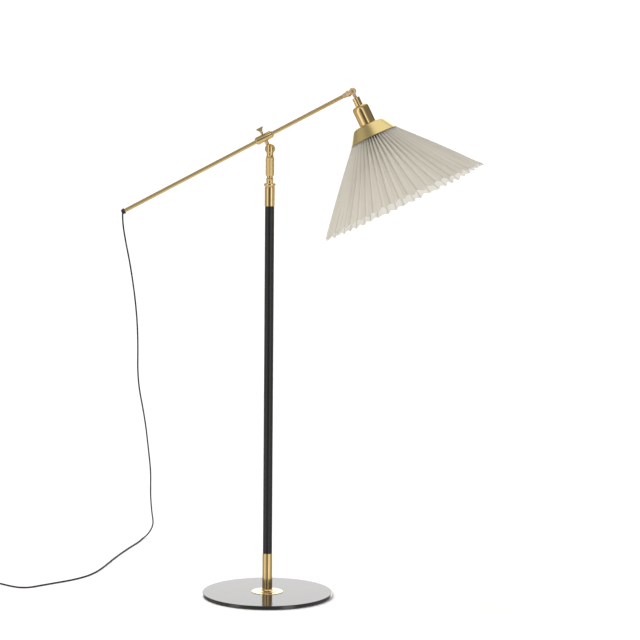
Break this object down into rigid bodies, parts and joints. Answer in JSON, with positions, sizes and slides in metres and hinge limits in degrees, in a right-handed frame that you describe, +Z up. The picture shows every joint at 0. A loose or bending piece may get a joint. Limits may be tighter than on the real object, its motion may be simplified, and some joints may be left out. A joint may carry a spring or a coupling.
{
  "type": "bridge floor lamp",
  "caption": "Floor lamp with a round foot, black column, telescoping mast and a tilting, sliding brass arm that carries a pleated conical shade on a hinged socket.",
  "frame": {"origin": "middle of the foot's underside, on the floor", "axes": "+Z up along the column; the arm lies in the XZ plane with the shade towards +X and the cord's end of the arm towards -X; +Y to the back of the pictured view"},
  "size_m": [1.162, 0.8552, 1.1299],
  "materials": {
    "black_steel": "satin",
    "brass": "polished, lacquered",
    "turned_brass": "satin, fine turning marks",
    "steel": "plain",
    "felt": "felt",
    "nylon": "moulded",
    "pleated_sheet": "matt, translucent",
    "black_plastic": "moulded",
    "nickel": "plated",
    "bulb_glass": "frosted",
    "flex": "matt"
  },
  "bodies": {
    "stand": {"foot_pad": "felt", "foot_plate": "black_steel", "foot_washer": "steel", "foot_bolt": "steel", "foot_flange": "brass", "lower_ferrule": "brass", "column_tube": "black_steel", "column_plug": "steel", "upper_ferrule": "brass", "guide_bush": "turned_brass", "cord_run": "flex", "cord_coil": "flex", "plug_relief": "black_plastic", "plug_body": "black_plastic", "plug_pins": "turned_brass"},
    "height_ring": {"height_ring": "brass"},
    "mast": {"mast_tube": "brass", "mast_shoe": "nylon", "mast_cap": "brass", "swivel_washer": "turned_brass"},
    "swivel": {"yoke": "brass", "cross_pin": "turned_brass"},
    "grip": {"grip": "turned_brass"},
    "clamp": {"clamp_stud": "brass", "clamp_barrel": "brass", "clamp_collar_rear": "turned_brass", "clamp_collar_front": "turned_brass", "pressure_pad": "nylon"},
    "thumbscrew": {"thumbscrew": "brass"},
    "arm": {"arm_tube": "brass", "cord_grommet": "black_plastic", "arm_lead": "flex"},
    "elbow": {"elbow_ball": "brass"},
    "head": {"head_fork": "brass", "pivot_screw": "turned_brass", "neck_cup": "brass", "socket_cup": "brass", "stem_nut": "turned_brass", "holder_bridge": "steel", "lamp_holder": "black_plastic", "holder_contact": "turned_brass", "crown": "brass", "shade_carrier": "steel", "shade_ring": "black_plastic", "pleated_shade": "pleated_sheet", "bulb_cap": "nickel", "bulb_glass": "bulb_glass"}
  },
  "joints": [
    {"name": "ring_turn", "type": "hinge", "parent": "stand", "child": "height_ring", "pos_m": [0, 0, 0.917], "axis": [0, 0, 1], "range_deg": [0, 120]},
    {"name": "height_slide", "type": "slide", "parent": "stand", "child": "mast", "axis": [0, 0, 1], "range_m": [0, 0.25], "deforming": ["cord_run"]},
    {"name": "swivel_turn", "type": "hinge", "parent": "mast", "child": "swivel", "pos_m": [0, 0, 0.9365], "axis": [0, 0, 1], "range_deg": [-90, 90], "deforming": ["cord_run"]},
    {"name": "grip_turn", "type": "hinge", "parent": "swivel", "child": "grip", "pos_m": [0, 0, 0.957], "axis": [0, 0, 1], "range_deg": [0, 120]},
    {"name": "arm_tilt", "type": "hinge", "parent": "swivel", "child": "clamp", "pos_m": [0, 0, 0.9963], "axis": [0, 1, 0], "range_deg": [-35, 18], "deforming": ["cord_run"]},
    {"name": "screw_turn", "type": "hinge", "parent": "clamp", "child": "thumbscrew", "pos_m": [-0.01286, 0, 1.02049], "axis": [-0.4695, 0, 0.8829], "range_deg": [0, 180]},
    {"name": "arm_slide", "type": "slide", "parent": "clamp", "child": "arm", "axis": [0.8829, 0, 0.4695], "range_m": [-0.06, 0.13], "deforming": ["cord_run"]},
    {"name": "arm_roll", "type": "hinge", "parent": "arm", "child": "elbow", "pos_m": [0.18006, 0, 1.12307], "axis": [0.8829, 0, 0.4695], "range_deg": [-90, 90]},
    {"name": "head_tilt", "type": "hinge", "parent": "elbow", "child": "head", "pos_m": [0.18006, 0, 1.12307], "axis": [0.0385, 0.9966, -0.0723], "range_deg": [-65, 10]}
  ]
}
